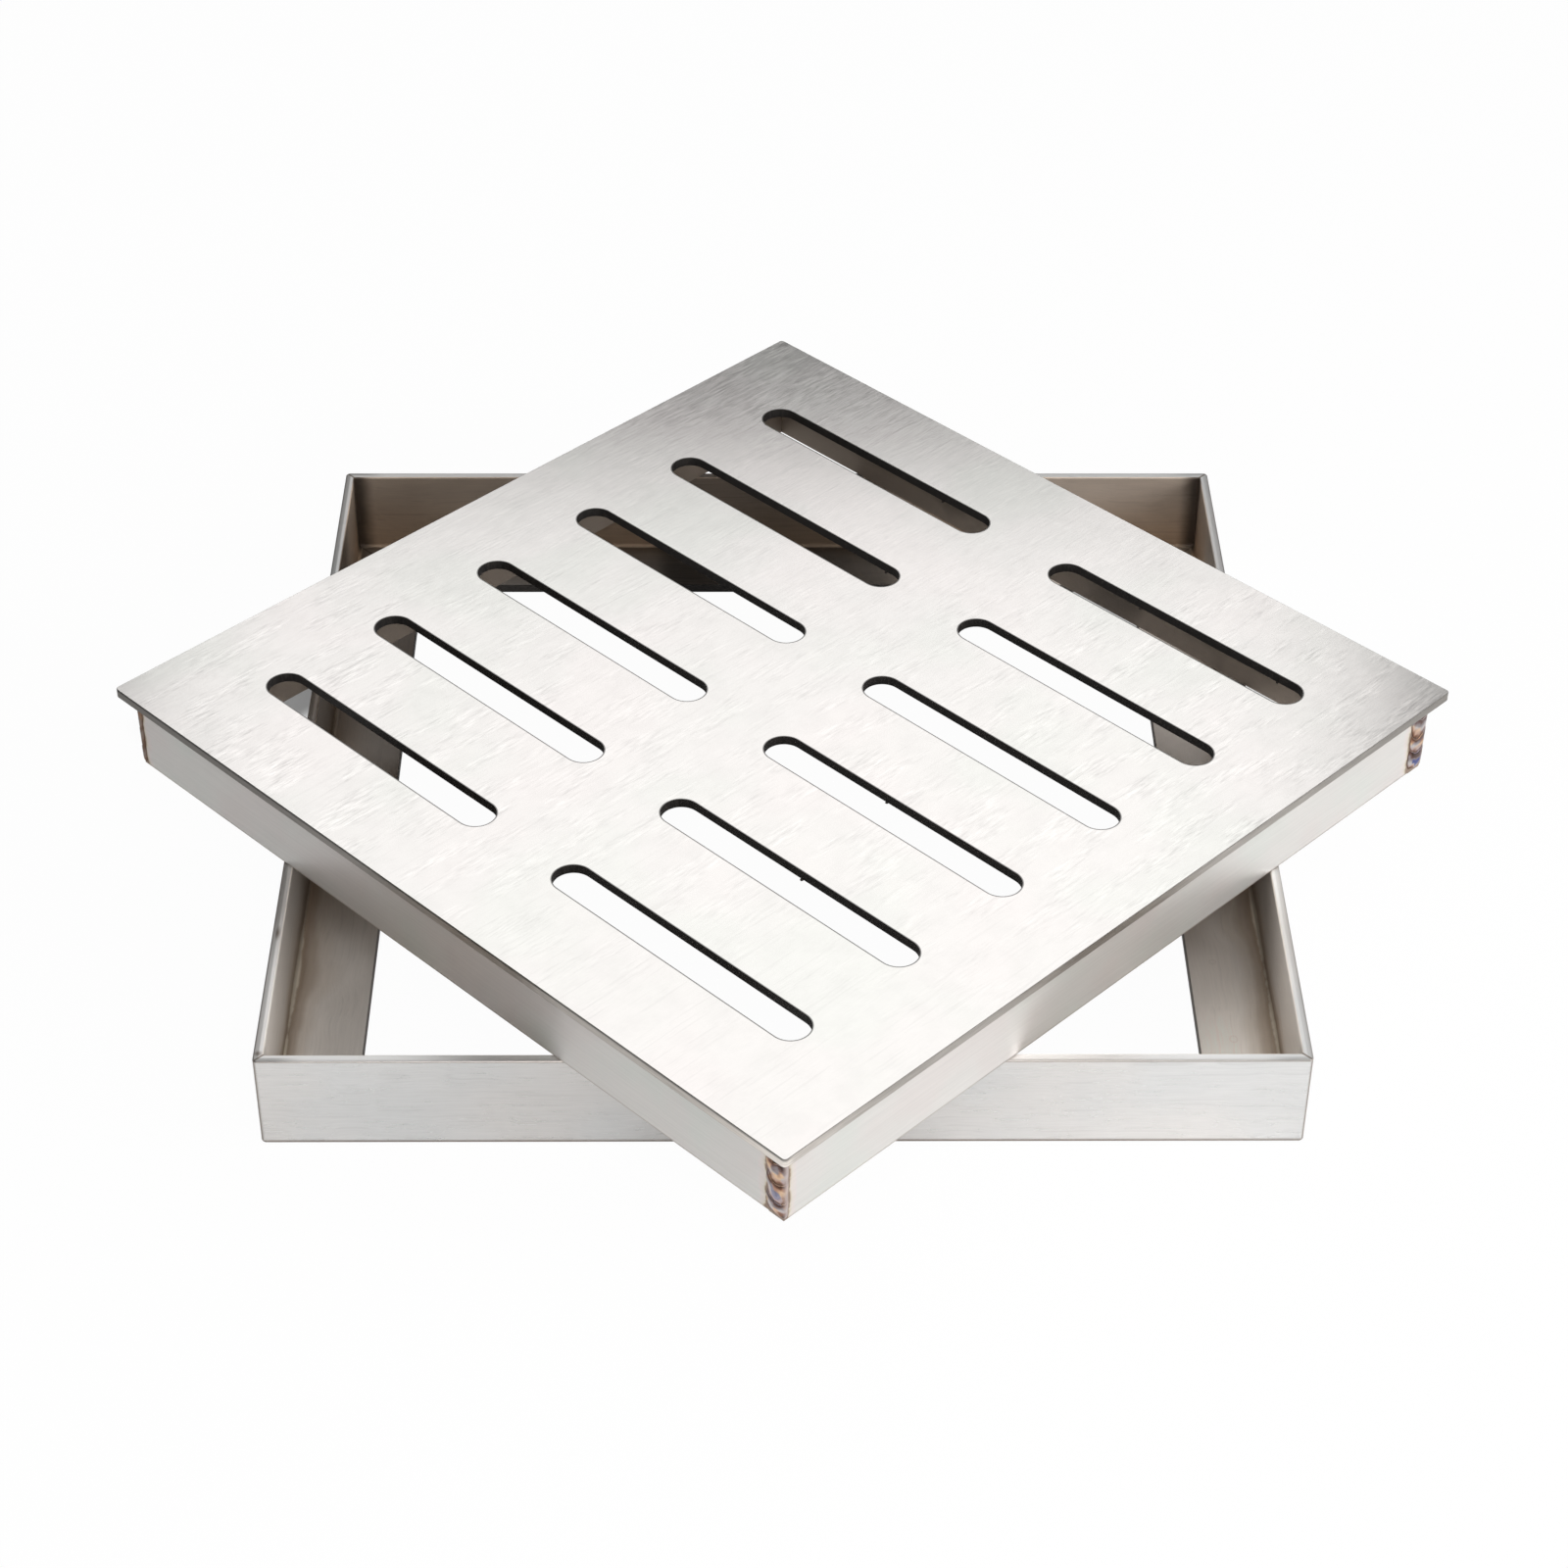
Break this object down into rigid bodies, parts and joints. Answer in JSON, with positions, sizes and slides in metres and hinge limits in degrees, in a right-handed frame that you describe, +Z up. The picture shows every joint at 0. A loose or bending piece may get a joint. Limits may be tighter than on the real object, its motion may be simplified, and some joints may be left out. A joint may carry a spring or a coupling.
{
  "type": "drain grate",
  "caption": "Square stainless drain grate: an open frame of mitred angle, and a loose slotted lid with a welded skirt, laid turned across the frame's rim.",
  "frame": {"origin": "on the floor, under the middle of the lid", "axes": "+Z up; -Y towards the viewer, square to the frame's front; the lid is turned 44.7 degrees about Z"},
  "size_m": [0.4092, 0.4092, 0.061],
  "materials": {
    "plate": "brushed along one way, bright",
    "skirt": "mill finish, satin",
    "frame": "mill finish, lightly brushed",
    "weld": "as welded, heat tinted"
  },
  "bodies": {
    "root": {"frame_front": "frame", "frame_right": "frame", "frame_back": "frame", "frame_left": "frame", "frame_weld_front_right": "frame", "frame_weld_back_right": "frame", "frame_weld_back_left": "frame", "frame_weld_front_left": "frame", "slotted_plate": "plate", "skirt_front_right": "skirt", "skirt_back_right": "skirt", "skirt_back_left": "skirt", "skirt_front_left": "skirt", "skirt_weld_right": "weld", "skirt_weld_far": "weld", "skirt_weld_left": "weld", "skirt_weld_near": "weld", "plate_stitches_front_right": "weld", "plate_stitches_back_right": "weld", "plate_stitches_back_left": "weld", "plate_stitches_front_left": "weld"}
  },
  "joints": []
}
